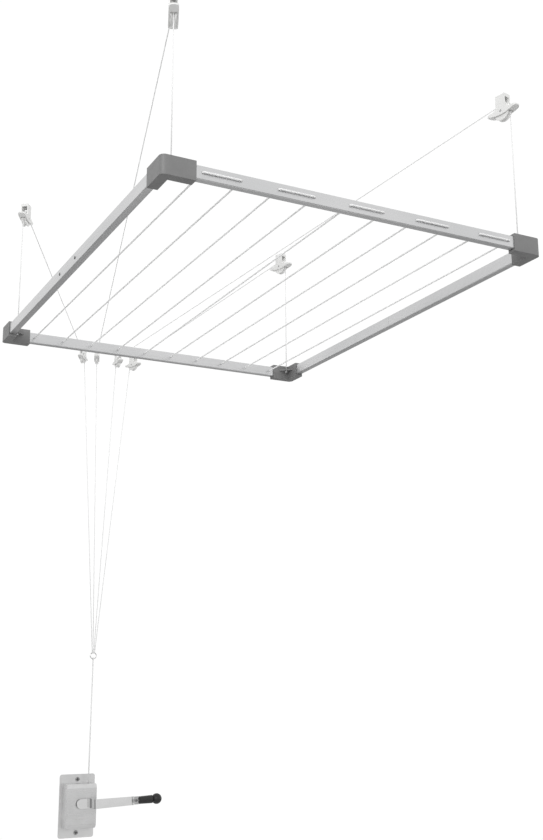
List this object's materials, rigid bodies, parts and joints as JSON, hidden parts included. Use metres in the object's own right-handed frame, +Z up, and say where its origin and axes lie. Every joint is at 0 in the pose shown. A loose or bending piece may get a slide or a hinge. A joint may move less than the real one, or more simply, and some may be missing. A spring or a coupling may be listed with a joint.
{
  "type": "ceiling mounted pulley rack",
  "caption": "Ceiling clothes drying rack: an aluminium frame laced with line hangs on cords from ceiling pulleys and is raised and lowered by a wall winch with a folding crank handle.",
  "frame": {"origin": "ceiling face of the near left rack pulley, above its wheel", "axes": "+Z up, the way that face looks; +Y from the near bar of the rack towards the winch wall, the longest extent; +X along the near bar"},
  "size_m": [0.8609, 2.1722, 1.654],
  "materials": {
    "bar_aluminium": "satin anodised",
    "corner_plastic": "moulded, satin",
    "pulley_plastic": "moulded, satin",
    "white_cord": "braided",
    "zinc_steel": "zinc plated",
    "winch_sheet": "brushed",
    "chrome_steel": "polished",
    "brake_lining": "matt",
    "black_plastic": "satin"
  },
  "bodies": {
    "mounting": {"rack_pulley_near_left_bracket": "pulley_plastic", "rack_pulley_near_left_axle": "zinc_steel", "wall_pulley_near_left_bracket": "pulley_plastic", "wall_pulley_near_left_axle": "zinc_steel", "rack_pulley_near_right_bracket": "pulley_plastic", "rack_pulley_near_right_axle": "zinc_steel", "wall_pulley_near_right_bracket": "pulley_plastic", "wall_pulley_near_right_axle": "zinc_steel", "rack_pulley_far_left_bracket": "pulley_plastic", "rack_pulley_far_left_axle": "zinc_steel", "wall_pulley_far_left_bracket": "pulley_plastic", "wall_pulley_far_left_axle": "zinc_steel", "rack_pulley_far_right_bracket": "pulley_plastic", "rack_pulley_far_right_axle": "zinc_steel", "wall_pulley_far_right_bracket": "pulley_plastic", "wall_pulley_far_right_axle": "zinc_steel", "lift_cord_near_left_drop": "white_cord", "lift_cord_near_right_drop": "white_cord", "lift_cord_far_left_drop": "white_cord", "lift_cord_far_right_drop": "white_cord", "lift_cord_near_left_run": "white_cord", "lift_cord_near_right_run": "white_cord", "lift_cord_far_left_run": "white_cord", "lift_cord_far_right_run": "white_cord", "lift_cord_near_left_fall": "white_cord", "lift_cord_near_right_fall": "white_cord", "lift_cord_far_left_fall": "white_cord", "lift_cord_far_right_fall": "white_cord", "winch_cord": "white_cord", "winch_plate": "winch_sheet", "winch_cover": "winch_sheet", "winch_brake_disc": "brake_lining"},
    "rack": {"corner_near_left": "corner_plastic", "corner_near_right": "corner_plastic", "corner_far_left": "corner_plastic", "corner_far_right": "corner_plastic", "near_bar": "bar_aluminium", "far_bar": "bar_aluminium", "left_bar_near": "bar_aluminium", "left_bar_far": "bar_aluminium", "right_bar_near": "bar_aluminium", "right_bar_far": "bar_aluminium", "left_splice": "zinc_steel", "right_splice": "zinc_steel", "clothes_line": "white_cord"},
    "ring": {"join_ring": "chrome_steel"},
    "crank": {"winch_drum": "pulley_plastic", "winch_shaft": "zinc_steel", "crank_arm": "chrome_steel", "handle_pin": "zinc_steel"},
    "handle": {"handle_lug": "chrome_steel"},
    "grip": {"handle_grip": "black_plastic"},
    "rack_pulley_near_left": {"rack_pulley_near_left_wheel": "pulley_plastic"},
    "wall_pulley_near_left": {"wall_pulley_near_left_wheel": "pulley_plastic"},
    "rack_pulley_near_right": {"rack_pulley_near_right_wheel": "pulley_plastic"},
    "wall_pulley_near_right": {"wall_pulley_near_right_wheel": "pulley_plastic"},
    "rack_pulley_far_left": {"rack_pulley_far_left_wheel": "pulley_plastic"},
    "wall_pulley_far_left": {"wall_pulley_far_left_wheel": "pulley_plastic"},
    "rack_pulley_far_right": {"rack_pulley_far_right_wheel": "pulley_plastic"},
    "wall_pulley_far_right": {"wall_pulley_far_right_wheel": "pulley_plastic"}
  },
  "joints": [
    {"name": "rack_lift", "type": "slide", "parent": "mounting", "child": "rack", "axis": [0, 0, -1], "range_m": [-0.22, 0.75], "deforming": ["lift_cord_near_left_drop", "lift_cord_near_right_drop", "lift_cord_far_left_drop", "lift_cord_far_right_drop"]},
    {"name": "ring_lift", "type": "slide", "parent": "mounting", "child": "ring", "axis": [0, 0, 1], "range_m": [-0.225, 0.755], "deforming": ["lift_cord_near_left_fall", "lift_cord_near_right_fall", "lift_cord_far_left_fall", "lift_cord_far_right_fall", "winch_cord"]},
    {"name": "crank_turn", "type": "hinge", "parent": "mounting", "child": "crank", "pos_m": [0.56455, 2.0952, -1.544], "axis": [0, -1, 0], "range_deg": [-455, 1545]},
    {"name": "handle_fold", "type": "hinge", "parent": "crank", "child": "handle", "pos_m": [0.72444, 2.0239, -1.53814], "axis": [0.0366, 0, -0.9993], "range_deg": [0, 90]},
    {"name": "grip_spin", "type": "hinge", "parent": "handle", "child": "grip", "pos_m": [0.76441, 2.0239, -1.53667], "axis": [0.9993, 0, 0.0366], "continuous": true},
    {"name": "rack_pulley_near_left_turn", "type": "hinge", "parent": "mounting", "child": "rack_pulley_near_left", "pos_m": [0, 0, -0.036], "axis": [-0.9336, 0.3584, 0], "range_deg": [-2400, 710]},
    {"name": "wall_pulley_near_left_turn", "type": "hinge", "parent": "mounting", "child": "wall_pulley_near_left", "pos_m": [0.55755, 2.0472, -0.036], "axis": [-0.9483, 0.3173, 0], "range_deg": [-2400, 710]},
    {"name": "rack_pulley_near_right_turn", "type": "hinge", "parent": "mounting", "child": "rack_pulley_near_right", "pos_m": [0.73042, 0.00092, -0.036], "axis": [-0.9848, -0.1736, 0], "range_deg": [-2400, 710]},
    {"name": "wall_pulley_near_right_turn", "type": "hinge", "parent": "mounting", "child": "wall_pulley_near_right", "pos_m": [0.63955, 2.0572, -0.036], "axis": [-1, 0, 0], "range_deg": [-2400, 710]},
    {"name": "rack_pulley_far_left_turn", "type": "hinge", "parent": "mounting", "child": "rack_pulley_far_left", "pos_m": [0.00335, 0.96829, -0.036], "axis": [-0.8387, 0.5446, 0], "range_deg": [-2400, 710]},
    {"name": "wall_pulley_far_left_turn", "type": "hinge", "parent": "mounting", "child": "wall_pulley_far_left", "pos_m": [0.51055, 2.0612, -0.036], "axis": [-0.829, 0.5592, 0], "range_deg": [-2400, 710]},
    {"name": "rack_pulley_far_right_turn", "type": "hinge", "parent": "mounting", "child": "rack_pulley_far_right", "pos_m": [0.72799, 0.97032, -0.036], "axis": [-0.9511, -0.309, 0], "range_deg": [-2400, 710]},
    {"name": "wall_pulley_far_right_turn", "type": "hinge", "parent": "mounting", "child": "wall_pulley_far_right", "pos_m": [0.70255, 2.0682, -0.036], "axis": [-0.9397, -0.342, 0], "range_deg": [-2400, 710]}
  ],
  "couplings": [
    {"joint": "ring_lift", "follows": "rack_lift", "ratio": 1},
    {"joint": "crank_turn", "follows": "rack_lift", "rad_per_m": 35.714},
    {"joint": "rack_pulley_near_left_turn", "follows": "rack_lift", "rad_per_m": -55.556},
    {"joint": "wall_pulley_near_left_turn", "follows": "rack_lift", "rad_per_m": -55.556},
    {"joint": "rack_pulley_near_right_turn", "follows": "rack_lift", "rad_per_m": -55.556},
    {"joint": "wall_pulley_near_right_turn", "follows": "rack_lift", "rad_per_m": -55.556},
    {"joint": "rack_pulley_far_left_turn", "follows": "rack_lift", "rad_per_m": -55.556},
    {"joint": "wall_pulley_far_left_turn", "follows": "rack_lift", "rad_per_m": -55.556},
    {"joint": "rack_pulley_far_right_turn", "follows": "rack_lift", "rad_per_m": -55.556},
    {"joint": "wall_pulley_far_right_turn", "follows": "rack_lift", "rad_per_m": -55.556}
  ]
}
